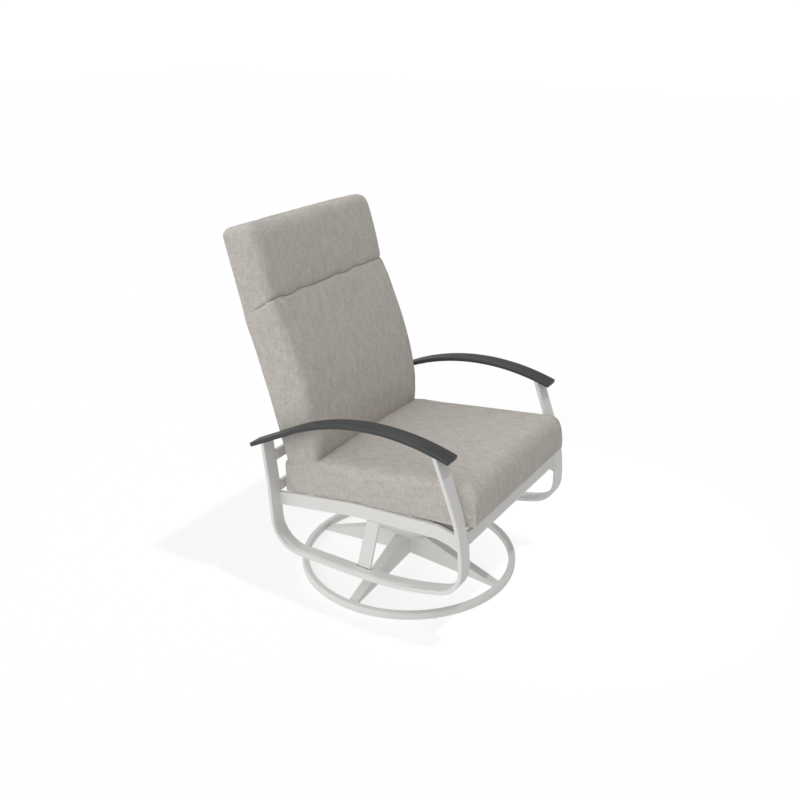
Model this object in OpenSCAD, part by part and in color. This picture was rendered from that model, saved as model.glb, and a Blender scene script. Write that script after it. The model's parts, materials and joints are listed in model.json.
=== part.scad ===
// Outdoor swivel rocker: round floor ring, spring rocker, bent flat-bar frame and loose cushions.
// Millimetres. +Z is up, the sitter faces -Y, and the sitter's right is -X.

/* [Overall] */
// Clear width between the two side frames
seat_gap = 600; // [560:5:640]
// Distance from the middle of the plan to the swivel axis, towards the front
swivel_back = 33; // [20:1:45]

/* [Floor base] */
// Outer radius of the floor ring
ring_r = 359; // [320:1:400]
// Width of the ring's tube
ring_w = 22; // [18:1:30]
// Height of the ring's tube
ring_h = 23.5; // [20:0.5:32]
// Rounding of the ring's edges
ring_edge = 5; // [2:0.5:9]
// Thickness of the floor glides
glide_t = 1; // [1:0.5:5]
// Width of a spoke
spoke_w = 31; // [24:1:38]
// Depth of a spoke where it meets the ring
spoke_tip_h = 8.5; // [8:0.5:16]
// Height of a spoke's underside at the hub
spoke_rise = 31; // [18:1:40]
// Height of the hub's top above the floor
hub_top = 117; // [104:1:122]
// Outer radius of the hub tube
hub_r = 25; // [24:0.5:30]
// Radius of the swivel spindle
spindle_r = 12; // [9:0.5:14]
// Running clearance of shafts in their bushings
run_gap = 0.05; // [0.02:0.01:0.1]

/* [Rocker mechanism] */
// Width of the swivel bracket across its cheeks
bracket_w = 140; // [130:2:150]
// Length of the swivel bracket from front to back
bracket_l = 106; // [100:2:120]
// Thickness of the mechanism's plates
plate_t = 5; // [4:0.5:6]
// Height of the rock shaft above the hub's top
shaft_rise = 133; // [125:1:140]
// Radius of the rock shaft
shaft_r = 9; // [7:0.5:10]
// Height of the spring tray above the hub's top
tray_rise = 76; // [70:1:84]
// Mean radius of a spring's coil
spring_r = 14; // [11:0.5:15]
// Thickness of the spring wire
spring_wire = 6; // [4:0.5:7]
// Turns in each spring
spring_turns = 7; // [5:1:8]
// Furthest that the seat rocks back, in degrees
rock_back = 12; // [8:1:12]
// Furthest that the seat rocks forward, in degrees
rock_front = 8; // [5:1:8]

/* [Side frames] */
// Width of the side frames' flat bar
bar_w = 50; // [40:1:56]
// Thickness of the side frames' flat bar
bar_t = 13; // [10:0.5:16]
// Rounding of the bars' long edges
bar_edge = 3; // [1:0.5:4]
// Height of the bottom run above the floor
run_z = 131.5; // [124:0.5:150]
// Distance from the swivel axis back to the rear upright at the bottom
rear_y = 286; // [270:1:300]
// Distance from the swivel axis forward to the front upright
front_y = 384; // [370:1:400]
// Bend radius of the rear bottom corner
rear_bend_r = 100; // [60:5:110]
// Bend radius of the front bottom corner
front_bend_r = 90; // [60:5:110]
// Height at which the front upright starts to lean back
front_lean_z = 363; // [353:1:383]
// Lean of the front upright's top, in degrees
front_lean = 20.6; // [16:0.2:24]

/* [Arms] */
// Width of an arm
arm_w = 53; // [46:1:60]
// Thickness of an arm
arm_t = 12; // [11:0.5:16]
// Rounding of an arm's edges
arm_edge = 4; // [2:0.5:5]
// Height of the arm's highest point
arm_z = 636; // [610:2:660]
// Radius of the arm's curve
arm_bend_r = 720; // [600:10:760]
// Slope of the arm's rear part, in degrees
arm_rear_slope = 27; // [22:0.5:30]
// Slope of the arm's front part, in degrees
arm_front_slope = 16; // [12:0.5:20]
// Distance from the swivel axis back to the arm's rear end
arm_rear_y = 364; // [350:2:390]
// Distance from the swivel axis forward to the arm's front end
arm_front_y = 340; // [330:2:360]

/* [Seat frame] */
// Height of the seat rails' section
rail_h = 44; // [40:1:48]
// Thickness of the seat rails
rail_t = 15; // [12:0.5:18]
// Height of the side rail's middle above the floor, at the swivel axis
rail_z = 327.5; // [324:0.5:331]
// Slope of the side rail's rear part, in degrees
rail_rear_slope = 8.3; // [6:0.1:9]
// Slope of the side rail's front part, in degrees
rail_front_slope = 3.2; // [2:0.1:5]
// Width of a seat slat
slat_w = 52; // [40:1:56]
// Thickness of a seat slat
slat_t = 10; // [8:0.5:12]
// Height of the rear cross rails
cross_h = 32; // [26:1:36]
// Height of the mechanism's cross tubes
tube_h = 24; // [20:1:25]

/* [Back frame] */
// Recline of the back cushion, in degrees
recline = 16.5; // [14:0.5:18]
// Width of a back stile
stile_w = 40; // [30:1:44]
// Thickness of a back stile
stile_t = 12; // [10:0.5:14]
// Distance from the chair's middle to a stile's centre
stile_x = 210; // [180:2:225]
// Distance of the stiles' top below the back cushion's top
stile_drop = 35; // [25:5:80]
// Thickness of a back slat
back_slat_t = 8; // [6:0.5:10]

/* [Cushions] */
// Thickness of the seat cushion at its side edges
seat_t = 122; // [105:1:128]
// How far the seat cushion's middle stands above its edges
seat_crown = 12; // [4:1:16]
// Distance from the swivel axis forward to the seat cushion's face
seat_front_y = 402; // [392:1:406]
// Distance from the swivel axis back to the seat cushion's rear
seat_rear_y = 274; // [255:1:276]
// Length of the back cushion along its recline
back_l = 731; // [680:1:740]
// Length of the head roll above the sewn channel
head_l = 215; // [180:5:240]
// Thickness of the back cushion behind its middle plane
back_rear_t = 60; // [54:1:62]
// Swell of the back cushion's lower front
back_belly = 34; // [22:1:38]
// Depth of the sewn channel
seam_depth = 14; // [8:1:18]
// Clearance of a cushion from what it rests on
soft_gap = 0.5; // [0.3:0.1:1]

/* [Hidden] */
$fn = 96;

// Side frames and arms
frame_x = (seat_gap + bar_w) / 2;
function unit(v) = v / norm(v);
function cross2(a, b) = a[0] * b[1] - a[1] * b[0];
function heading(a) = [sin(a), cos(a)];
function meet(p, d, q, e) = p + d * (cross2(q - p, e) / cross2(d, e));
arm_mid = arm_z - arm_t / 2;
arm_top_y = -121;
arm_crest = [arm_top_y, arm_mid - arm_bend_r];
arm_rear_dir = heading(90 + arm_rear_slope);
arm_front_dir = heading(-90 - arm_front_slope);
arm_rear_tangent = arm_crest + arm_bend_r * heading(arm_rear_slope);
arm_front_tangent = arm_crest + arm_bend_r * heading(-arm_front_slope);
arm_knee = meet(arm_rear_tangent, arm_rear_dir, arm_front_tangent, arm_front_dir);
arm_rear_end = arm_rear_tangent + arm_rear_dir * ((arm_rear_y - arm_rear_tangent[0]) / arm_rear_dir[0]);
arm_front_end = arm_front_tangent
  + arm_front_dir * ((-arm_front_y - arm_front_tangent[0]) / arm_front_dir[0]);
arm_path = [arm_rear_end, arm_knee, arm_front_end];

rear_lean_low = 3.7;
rear_lean_top = 6.9;
rear_lean_z = 348;
run_bend_y = -175;
run_bend_r = 1000;
run_rise = 16;
lean_bend_r = 400;
front_lean_r = 530;
rear_foot = [rear_y, run_z];
rear_lean_point = rear_foot + heading(rear_lean_low) * ((rear_lean_z - run_z) / cos(rear_lean_low));
rear_top = meet(rear_lean_point, heading(rear_lean_top), arm_rear_end, arm_rear_dir);
run_bend = [run_bend_y, run_z];
front_foot = [-front_y, run_z + (front_y + run_bend_y) * tan(run_rise)];
front_lean_point = [-front_y, front_lean_z];
front_top = meet(front_lean_point, heading(front_lean), arm_front_end, arm_front_dir);
side_path = [rear_top, rear_lean_point, rear_foot, run_bend, front_foot, front_lean_point, front_top];
side_bends = [0, lean_bend_r, rear_bend_r, run_bend_r, front_bend_r, front_lean_r, 0];
stud_r = 3;
stud_l = 0.44 * bar_w;
stud_pitch = 0.52 * bar_w;
stud_cover = 2;

// Seat rails: the rear end butts on the rear upright and the front end on the front upright
rail_inset = 5;
rail_x = seat_gap / 2 + rail_t / 2 - rail_inset;
rail_inner_x = rail_x - rail_t / 2;
rail_nose_y = -285;
rail_nose_drop = 13;
rail_nose_r = 80;
rail_knee_r = 600;
rail_knee = [0, rail_z + 1.2];
rail_rear_point = meet(rail_knee, heading(90 + rail_rear_slope), rear_foot, heading(rear_lean_low));
rail_nose = meet(rail_knee, heading(-90 + rail_front_slope), [rail_nose_y, 0], heading(0));
rail_front_point = meet(rail_nose, heading(-90 - rail_nose_drop), [-front_y, 0], heading(0));
rail_path = [rail_rear_point, rail_knee, rail_nose, rail_front_point];
rail_bends = [0, rail_knee_r, rail_nose_r, 0];
rail_slopes = [rail_rear_slope, rail_front_slope, rail_nose_drop];
rail_top_path = [for (i = [0 : 2]) rail_path[i] + [0, rail_h / 2 / cos(rail_slopes[i])]];
function on_line(p, slope, y) = p[1] + (p[0] - y) * tan(slope);
function rail_top(y) = y > 0 ? on_line(rail_top_path[0], rail_rear_slope, y)
  : y > rail_nose_y ? on_line(rail_top_path[1], rail_front_slope, y)
  : on_line(rail_top_path[2], rail_front_slope, y);
rail_front_y = -front_y + bar_t / 2;
front_rail_y = -front_y + rail_t / 2;
front_rail_z = rail_top(front_rail_y + rail_t / 2) - rail_h / 2;

// Back frame: the stiles' lower part lies on the front of the two rear rails
cross_t = 15;
stile_lean = 6;
stile_foot = [283.4, 311];
back_dir = heading(recline);
back_normal = [-cos(recline), sin(recline)];
back_foot = [210, 431];
stile_line = back_foot - back_normal * (back_rear_t + soft_gap + stile_t / 2);
stile_knee = meet(stile_foot, heading(stile_lean), stile_line, back_dir);
stile_top = stile_line + back_dir * (back_l - stile_drop);
stile_path = [stile_foot, stile_knee, stile_top];
stile_bends = [0, 300, 0];
cross_lower_z = 328;
cross_upper_z = 432;
back_slat_w = 40;
back_top_h = 40;
back_slat_s = [for (k = [0 : 3]) back_l * (0.227 + 0.151 * k)];

// Hub and swivel stack
glide_d = 16;
ring_in = ring_r - ring_w;
ring_top = glide_t + ring_h;
bush_wall = 3.5;
bush_flange_r = hub_r - 1;
bush_flange_t = 3;
bush_l = 22;
hub_bottom = spoke_rise + 20;
race_t = 5;
race_gap = 0.1;
bracket_z = hub_top + bush_flange_t + race_t + race_gap + 3;
washer_t = 3;
washer_z = hub_bottom - bush_flange_t - washer_t - race_gap;
nut_t = 7;
spindle_end = washer_z - nut_t + 1;
spindle_head_t = 4;
cheek_x = bracket_w / 2;
shaft_z = hub_top + shaft_rise;
tray_z = hub_top + tray_rise;
cheek_top = shaft_z + 15;
spacer_t = 5;
ear_x = cheek_x + spacer_t;
rocker_w = 2 * (ear_x + plate_t);
rocker_l = 150;
tube_y = 60;
nut_h = 4;
tube_z = rail_top(tube_y + 8) - nut_h - 2 - tube_h;
rocker_z = tube_z - plate_t;
tube_d = 30;
spring_x = cheek_x - 32;
spring_y = bracket_l / 2 - 17;
spring_rings = 8;
spring_sides = 6;
cup_t = 2;
cup_r = spring_r + spring_wire / 2 + 2;
cup_boss_r = (spring_r - spring_wire / 2) * cos(180 / spring_rings) - spring_wire / 10;
cup_boss_h = 9;
spring_bottom = tray_z + plate_t + cup_t + spring_wire / 2 + 0.1;
spring_top = rocker_z - cup_t - spring_wire / 2 - 0.1;
bolt_r = 4;
bolt_x = 56;
bolt_gap = 0.2;
stop_r = 6;
stop_y = 44;
stop_gap = 0.6;

joint_lap = 0.005;
module placed() {
  translate([0, -swivel_back, 0]) children();
}
module left() {
  children();
}
module right() {
  mirror([1, 0, 0]) children();
}

// Section of a bar with rounded edges, centred
module bar_section(across, thick, edge, steps = 3) {
  polygon([
    for (c = [[1, 1, 0], [-1, 1, 90], [-1, -1, 180], [1, -1, 270]])
      for (k = [0 : steps])
        [c[0] * (across / 2 - edge) + edge * cos(c[2] + 90 * k / steps),
         c[1] * (thick / 2 - edge) + edge * sin(c[2] + 90 * k / steps)]
  ]);
}

// Bar bent in the plane of Y and Z: across is its width along X, thick its depth in the plane
module bent_bar(path, bends, across, thick, edge) {
  last = len(path) - 1;
  dirs = [for (i = [0 : last - 1]) unit(path[i + 1] - path[i])];
  turns = [for (i = [0 : last]) i == 0 || i == last ? 0
    : asin(cross2(dirs[i - 1], dirs[i]))];
  runs = [for (i = [0 : last]) bends[i] * tan(abs(turns[i]) / 2)];
  for (i = [0 : last - 1]) {
    from = path[i] + dirs[i] * runs[i];
    reach = norm(path[i + 1] - path[i]) - runs[i] - runs[i + 1];
    translate([0, from[0], from[1]])
      rotate([-atan2(dirs[i][0], dirs[i][1]), 0, 0])
      translate([0, 0, -joint_lap])
      linear_extrude(reach + 2 * joint_lap)
      bar_section(across, thick, edge);
  }
  for (i = [1 : last - 1]) {
    side = sign(turns[i]);
    start = path[i] - dirs[i - 1] * runs[i];
    centre = start + bends[i] * side * [-dirs[i - 1][1], dirs[i - 1][0]];
    away = start - centre;
    first = atan2(away[1], away[0]) + (side < 0 ? turns[i] : 0);
    translate([0, centre[0], centre[1]])
      rotate([90, 0, 90])
      rotate([0, 0, first])
      rotate_extrude(angle = abs(turns[i]), $fn = max(96, bends[i]))
      translate([bends[i], 0])
      bar_section(thick, across, edge);
  }
}

// Everything from the arm's middle up, which trims the uprights' tops
module above_arm(point, dir) {
  translate([0, point[0], point[1]])
    rotate([-atan2(dir[0], dir[1]) + (dir[0] > 0 ? 90 : -90), 0, 0])
    translate([-arm_w, -2 * arm_w, 0])
    cube([2 * arm_w, 4 * arm_w, 2 * arm_w]);
}

module disc(r, h, z, hole = 0) {
  translate([0, 0, z])
    difference() {
      cylinder(r = r, h = h);
      if (hole > 0)
        translate([0, 0, -1]) cylinder(r = hole, h = h + 2);
    }
}

module hex_nut(flats_r, bore, h) {
  difference() {
    cylinder(r = flats_r, h = h, $fn = 6);
    translate([0, 0, -1]) cylinder(r = bore, h = h + 2);
  }
}

// Floor base
module base_ring() {
  placed() color("whitesmoke")
    rotate_extrude($fn = 192)
    translate([ring_r - ring_w / 2, glide_t + ring_h / 2])
    bar_section(ring_w, ring_h, ring_edge);
}

module floor_glides() {
  placed() color("dimgray")
    for (a = [45 : 90 : 315])
      rotate([0, 0, a]) translate([ring_r - ring_w / 2, 0, 0])
        cylinder(d = min(glide_d, ring_w), h = glide_t);
}

module spoke(turn) {
  tip_z = glide_t + 2.5;
  flat_r = bracket_w / 2 - 18;
  rotate([0, 0, turn])
    difference() {
      intersection() {
        translate([0, spoke_w / 2, 0]) rotate([90, 0, 0])
          linear_extrude(spoke_w)
          polygon([
            [hub_r / 2, spoke_rise], [ring_r, tip_z], [ring_r, tip_z + spoke_tip_h],
            [ring_in, tip_z + spoke_tip_h], [flat_r, hub_top], [hub_r / 2, hub_top]
          ]);
        cylinder(r = ring_in, h = hub_top + 10, $fn = 192);
      }
      translate([0, 0, -1]) cylinder(r = hub_r, h = hub_top + 20);
    }
}
module spoke_front() { placed() color("whitesmoke") spoke(-90); }
module spoke_rear() { placed() color("whitesmoke") spoke(90); }
module spoke_left() { placed() color("whitesmoke") spoke(0); }
module spoke_right() { placed() color("whitesmoke") spoke(180); }

module hub_tube() {
  bore = spindle_r + run_gap + bush_wall;
  placed() color("whitesmoke") disc(hub_r, hub_top - hub_bottom, hub_bottom, bore);
}

module bushing(flange_up) {
  outer = spindle_r + run_gap + bush_wall;
  flange_z = flange_up ? hub_top : hub_bottom - bush_flange_t;
  wall_z = flange_up ? hub_top - bush_l : hub_bottom;
  difference() {
    union() {
      translate([0, 0, flange_z]) cylinder(r = bush_flange_r, h = bush_flange_t);
      translate([0, 0, wall_z]) cylinder(r = outer, h = bush_l);
    }
    translate([0, 0, hub_bottom - 20]) cylinder(r = spindle_r + run_gap, h = hub_top + 20);
  }
}
module hub_bushing_upper() { placed() color("black") bushing(true); }
module hub_bushing_lower() { placed() color("black") bushing(false); }

module thrust_bearing() {
  placed() color("silver")
    difference() {
      disc(hub_r - 2, race_t, hub_top + bush_flange_t, spindle_r + 0.5);
      translate([0, 0, hub_top + bush_flange_t + race_t / 2])
        rotate_extrude() translate([hub_r - 2, 0]) circle(r = 1.2, $fn = 24);
    }
}

// Swivel: spindle, bracket, rock shaft and lower spring seats
module swivel_spindle() {
  placed() color("silver") {
    translate([0, 0, spindle_end]) cylinder(r = spindle_r, h = bracket_z + plate_t - spindle_end);
    translate([0, 0, bracket_z + plate_t]) cylinder(r = spindle_r + 8, h = spindle_head_t);
  }
}

module spindle_washer() {
  placed() color("silver") disc(hub_r - 3, washer_t, washer_z, spindle_r);
}

module spindle_nut() {
  placed() color("silver") translate([0, 0, washer_z - nut_t]) hex_nut(spindle_r + 8, spindle_r, nut_t);
}

module swivel_race() {
  low = hub_top + bush_flange_t + race_t + race_gap;
  placed() color("silver") disc(hub_r - 2, bracket_z - low, low, spindle_r);
}

module cheek_outline() {
  half = bracket_l / 2;
  shoulder = 16;
  polygon([
    [-half, bracket_z], [half, bracket_z], [half, cheek_top - shoulder], [half - shoulder, cheek_top],
    [-half + shoulder, cheek_top], [-half, cheek_top - shoulder]
  ]);
}

module swivel_bracket() {
  placed() color("gainsboro")
    difference() {
      union() {
        translate([-cheek_x, -bracket_l / 2, bracket_z]) cube([bracket_w, bracket_l, plate_t]);
        for (s = [-1, 1])
          translate([s * (cheek_x - plate_t / 2) - plate_t / 2, 0, 0])
            rotate([90, 0, 90]) linear_extrude(plate_t) cheek_outline();
      }
      translate([0, 0, bracket_z - 1]) cylinder(r = spindle_r, h = plate_t + 2);
      translate([-cheek_x - 1, 0, shaft_z]) rotate([0, 90, 0]) cylinder(r = shaft_r, h = bracket_w + 2);
    }
}

module spring_tray() {
  inner = cheek_x - plate_t;
  placed() color("gainsboro")
    translate([-inner, -bracket_l / 2, tray_z]) cube([2 * inner, bracket_l, plate_t]);
}

module rock_shaft() {
  reach = ear_x + plate_t + 10;
  placed() color("silver")
    translate([-reach, 0, shaft_z]) rotate([0, 90, 0]) cylinder(r = shaft_r, h = 2 * reach);
}

module shaft_nuts() {
  placed() color("silver")
    for (s = [-1, 1])
      translate([s * (ear_x + plate_t + 1.5 + race_gap) + (s < 0 ? -7 : 0), 0, shaft_z])
        rotate([0, 90, 0]) hex_nut(shaft_r + 7, shaft_r, 7);
}

module at_springs() {
  for (x = [-spring_x, spring_x])
    for (y = [-spring_y, spring_y])
      translate([x, y, 0]) children();
}

module lower_spring_cups() {
  placed() color("silver")
    at_springs() {
      translate([0, 0, tray_z + plate_t]) cylinder(r = cup_r, h = cup_t);
      translate([0, 0, tray_z + plate_t + cup_t]) cylinder(r = cup_boss_r, h = cup_boss_h);
    }
}

// Spring: one unbroken wire whose end turns lie flat
spring_steps = spring_turns * spring_rings;
function spring_climb(t) =
  let (flat = 0.9, pitch = spring_wire + 0.5, open = spring_top - spring_bottom - 2 * flat * pitch)
  t < flat ? t * pitch
  : t > spring_turns - flat ? spring_top - spring_bottom - (spring_turns - t) * pitch
  : flat * pitch + open * (t - flat) / (spring_turns - 2 * flat);
function spring_point(t) = [
  spring_r * cos(360 * t), spring_r * sin(360 * t), spring_bottom + spring_climb(t)
];
spring_line = [for (k = [0 : spring_steps]) spring_point(k / spring_rings)];
spring_least = min([
  for (i = [0 : spring_steps - spring_rings])
    min([for (j = [i + spring_rings - 1 : min(spring_steps, i + spring_rings + 1)])
      norm(spring_line[j] - spring_line[i])])
]) - spring_wire;
echo(spring_least_gap = spring_least);

function wire_ring(k) =
  let (
    p = spring_line[k],
    out = unit([p[0], p[1], 0]),
    ahead = unit(spring_line[min(k + 1, spring_steps)] - spring_line[max(k - 1, 0)]),
    up = unit(cross(out, ahead)),
    away = cross(ahead, up)
  )
  [for (s = [0 : spring_sides - 1])
    p + spring_wire / 2 * (cos(360 * s / spring_sides) * away + sin(360 * s / spring_sides) * up)];

module coil_spring() {
  n = spring_sides;
  points = [for (k = [0 : spring_steps]) each wire_ring(k)];
  walls = [
    for (k = [0 : spring_steps - 1])
      for (s = [0 : n - 1])
        let (a = k * n + s, b = k * n + (s + 1) % n)
        each [[a, b, b + n], [a, b + n, a + n]]
  ];
  foot = [for (s = [1 : n - 2]) [0, s + 1, s]];
  top_start = spring_steps * n;
  cap = [for (s = [1 : n - 2]) [top_start, top_start + s, top_start + s + 1]];
  polyhedron(points, concat(walls, foot, cap));
}
module spring_at(x, y) {
  placed() color("silver") translate([x * spring_x, y * spring_y, 0]) coil_spring();
}
module spring_front_left() { spring_at(1, -1); }
module spring_front_right() { spring_at(-1, -1); }
module spring_rear_left() { spring_at(1, 1); }
module spring_rear_right() { spring_at(-1, 1); }

// Rocker: bracket, bushings, stops and the cross tubes that carry the seat
module upper_spring_cups() {
  placed() color("silver")
    at_springs() {
      translate([0, 0, rocker_z - cup_t]) cylinder(r = cup_r, h = cup_t);
      translate([0, 0, rocker_z - cup_t - cup_boss_h]) cylinder(r = cup_boss_r, h = cup_boss_h);
    }
}

bush_out_r = shaft_r + run_gap + 3;
module ear_outline() {
  boss = shaft_r + 9;
  wide = 46;
  difference() {
    union() {
      translate([0, shaft_z]) circle(r = boss);
      polygon([[-wide, rocker_z], [-boss, shaft_z], [boss, shaft_z], [wide, rocker_z]]);
    }
    translate([0, shaft_z]) circle(r = bush_out_r);
  }
}

module rocker_bracket() {
  placed() color("gainsboro")
    difference() {
      union() {
        translate([-rocker_w / 2, -rocker_l / 2, rocker_z]) cube([rocker_w, rocker_l, plate_t]);
        for (x = [-ear_x - plate_t, ear_x])
          translate([x, 0, 0]) rotate([90, 0, 90]) linear_extrude(plate_t) ear_outline();
      }
      at_bolts() translate([0, 0, rocker_z - 1]) cylinder(r = bolt_r + bolt_gap, h = plate_t + 2);
    }
}

module rocker_bushings() {
  low = cheek_x + race_gap;
  high = ear_x + plate_t + 1.5;
  placed() color("black")
    for (s = [0, 1]) mirror([s, 0, 0])
      difference() {
        union() {
          translate([low, 0, shaft_z]) rotate([0, 90, 0]) cylinder(r = bush_out_r, h = high - low);
          translate([low, 0, shaft_z]) rotate([0, 90, 0]) cylinder(r = bush_out_r + 4, h = ear_x - low);
        }
        translate([low - 1, 0, shaft_z]) rotate([0, 90, 0])
          cylinder(r = shaft_r + run_gap, h = high - low + 2);
      }
}

// Height above the rock axis at which a stop of this angle meets the cheek's top edge
function stop_rise(a) = (cheek_top + stop_gap - shaft_z + (stop_y + stop_r) * sin(a)) / cos(a);
module bump_stops() {
  placed() color("dimgray")
    for (s = [-1, 1])
      for (e = [[-stop_y, rock_front], [stop_y, rock_back]])
        let (z = shaft_z + stop_rise(e[1]))
        translate([s * (cheek_x - plate_t / 2), e[0], z]) cylinder(r = stop_r, h = rocker_z - z);
}

module at_bolts() {
  for (x = [-bolt_x, bolt_x])
    for (y = [-tube_y, tube_y])
      translate([x, y, 0]) children();
}

module cross_tube(y) {
  placed() color("whitesmoke")
    difference() {
      translate([-rail_inner_x, y, tube_z + tube_h / 2]) rotate([90, 0, 90])
        linear_extrude(2 * rail_inner_x)
        difference() {
          bar_section(tube_d, tube_h, 3);
          square([tube_d - 5, tube_h - 5], center = true);
        }
      at_bolts() translate([0, 0, tube_z - 1]) cylinder(r = bolt_r + bolt_gap, h = tube_h + 2);
    }
}
module cross_tube_front() { cross_tube(-tube_y); }
module cross_tube_rear() { cross_tube(tube_y); }

module mechanism_bolts() {
  placed() color("silver")
    at_bolts() {
      translate([0, 0, rocker_z - 5]) cylinder(r = 7.5, h = 5, $fn = 6);
      translate([0, 0, rocker_z]) cylinder(r = bolt_r, h = plate_t + tube_h + nut_h + 1);
    }
}

module mechanism_nuts() {
  placed() color("silver") at_bolts() translate([0, 0, tube_z + tube_h]) hex_nut(7.5, bolt_r, nut_h);
}

// Seat frame
module seat_rail() {
  difference() {
    translate([rail_x, 0, 0]) bent_bar(rail_path, rail_bends, rail_t, rail_h, bar_edge);
    // the rear end follows the upright's front face, the front end its rear face
    translate([frame_x, 0, 0]) bent_bar(side_path, side_bends, bar_w + 2, bar_t, bar_edge);
    translate([0, rear_y + bar_t / 2 + 3, 0]) cube([frame_x + bar_w, bar_w, 2 * rail_z]);
    translate([0, -front_y - bar_w, 0]) cube([frame_x + bar_w, bar_w, 2 * rail_z]);
  }
}
module seat_rail_left() { placed() color("whitesmoke") left() seat_rail(); }
module seat_rail_right() { placed() color("whitesmoke") right() seat_rail(); }

// Front rail: from upright to upright, notched at its ends round the noses of the side rails
module front_rail() {
  placed() color("whitesmoke")
    difference() {
      translate([-seat_gap / 2, front_rail_y, front_rail_z]) rotate([90, 0, 90])
        linear_extrude(seat_gap)
        bar_section(rail_t, rail_h, bar_edge);
      left() seat_rail();
      right() seat_rail();
    }
}

slat_ys = [225, 140, 0, -140, -235];
module seat_slats() {
  placed() color("whitesmoke")
    for (y = slat_ys)
      let (front = rail_top(y - slat_w / 2), rear = rail_top(y + slat_w / 2))
      translate([-rail_inner_x, y, (front + rear) / 2])
        rotate([-asin((front - rear) / slat_w), 0, 0])
        translate([0, 0, -slat_t / 2]) rotate([90, 0, 90])
        linear_extrude(2 * rail_inner_x)
        bar_section(slat_w, slat_t, 3);
}

module rear_rail(z) {
  point = meet(stile_foot, heading(stile_lean), [0, z], [1, 0]);
  placed() color("whitesmoke")
    difference() {
      translate([-seat_gap / 2, point[0], point[1]])
        rotate([-stile_lean, 0, 0])
        translate([0, (stile_t + cross_t) / 2, 0])
        rotate([90, 0, 90])
        linear_extrude(seat_gap)
        bar_section(cross_t, cross_h, bar_edge);
      at_stile_bolts(z) cylinder(r = 3.2, h = 80, center = true);
    }
}
module rear_rail_lower() { rear_rail(cross_lower_z); }
module rear_rail_upper() { rear_rail(cross_upper_z); }

// Side frames
module side_frame() {
  difference() {
    translate([frame_x, 0, 0]) bent_bar(side_path, side_bends, bar_w, bar_t, bar_edge);
    translate([frame_x, 0, 0]) above_arm(arm_rear_end, arm_rear_dir);
    translate([frame_x, 0, 0]) above_arm(arm_front_end, arm_front_dir);
    translate([frame_x, 0, 0]) bent_bar(arm_path, [0, arm_bend_r, 0], bar_w + 4 * arm_edge, arm_t, arm_edge);
    at_studs();
  }
}
module side_frame_left() { placed() color("whitesmoke") left() side_frame(); }
module side_frame_right() { placed() color("whitesmoke") right() side_frame(); }

// Studs stand along each upright's own lean, half in the upright and half in the arm
module at_studs() {
  for (e = [[rear_top, rear_lean_top], [front_top, front_lean]])
    for (s = [-1, 1])
      translate([frame_x + s * stud_pitch / 2, e[0][0], e[0][1]])
        rotate([-e[1], 0, 0])
        translate([0, 0, -stud_l])
        cylinder(r = stud_r, h = stud_l + arm_t / 2 - stud_cover);
}
module arm_studs() {
  placed() color("silver") {
    left() at_studs();
    right() at_studs();
  }
}

strut_top_y = [-46.5, -91];
strut_foot_y = [-4.5, -50.5];
strut_t = 8;
module strut() {
  low = run_z;
  high = rail_z;
  difference() {
    translate([rail_x + rail_t / 2 - strut_t, 0, 0])
      rotate([90, 0, 90])
      linear_extrude(strut_t)
      polygon([
        [strut_top_y[1], high], [strut_top_y[0], high], [strut_foot_y[0], low], [strut_foot_y[1], low]
      ]);
    translate([frame_x, 0, 0]) bent_bar(side_path, side_bends, 2 * bar_w, bar_t, bar_edge);
    translate([rail_x, 0, 0]) bent_bar(rail_path, rail_bends, 3 * rail_t, rail_h, bar_edge);
  }
}
module strut_left() { placed() color("whitesmoke") left() strut(); }
module strut_right() { placed() color("whitesmoke") right() strut(); }

// Arms
module arm() {
  difference() {
    translate([frame_x, 0, 0]) bent_bar(arm_path, [0, arm_bend_r, 0], arm_w, arm_t, arm_edge);
    at_studs();
  }
}
module arm_left() { placed() color("#4a5050") left() arm(); }
module arm_right() { placed() color("#4a5050") right() arm(); }

// Back frame
module at_stile_bolts(z) {
  point = meet(stile_foot, heading(stile_lean), [0, z], [1, 0]);
  for (x = [-stile_x, stile_x])
    translate([x, point[0], point[1]]) rotate([-stile_lean - 90, 0, 0]) children();
}

module back_stile(x) {
  placed() color("whitesmoke")
    difference() {
      translate([x, 0, 0]) bent_bar(stile_path, stile_bends, stile_w, stile_t, bar_edge);
      at_stile_bolts(cross_lower_z) cylinder(r = 3.2, h = 80, center = true);
      at_stile_bolts(cross_upper_z) cylinder(r = 3.2, h = 80, center = true);
    }
}
module back_stile_left() { back_stile(stile_x); }
module back_stile_right() { back_stile(-stile_x); }

module along_back(s) {
  point = stile_line + back_dir * s;
  translate([0, point[0], point[1]]) rotate([-recline, 0, 0]) children();
}

module back_top_rail() {
  span = 2 * stile_x - stile_w;
  s = back_l - stile_drop - back_top_h / 2 - 4;
  placed() color("whitesmoke")
    along_back(s) translate([-span / 2, 0, 0]) rotate([90, 0, 90])
    linear_extrude(span)
    bar_section(stile_t, back_top_h, bar_edge);
}

module back_slats() {
  span = 2 * stile_x - stile_w;
  placed() color("whitesmoke")
    for (s = back_slat_s)
      along_back(s) translate([-span / 2, (back_slat_t - stile_t) / 2, 0]) rotate([90, 0, 90])
        linear_extrude(span)
        bar_section(back_slat_t, back_slat_w, 2);
}

module back_frame_bolts() {
  placed() color("silver")
    for (z = [cross_lower_z, cross_upper_z])
      at_stile_bolts(z) {
        translate([0, 0, -stile_t / 2 - 3]) cylinder(r = 6.5, h = 3);
        translate([0, 0, -stile_t / 2]) cylinder(r = 3, h = stile_t + cross_t + 7);
      }
}

module back_frame_nuts() {
  placed() color("silver")
    for (z = [cross_lower_z, cross_upper_z])
      at_stile_bolts(z) translate([0, 0, stile_t / 2 + cross_t]) hex_nut(5.8, 3, 5);
}

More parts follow.
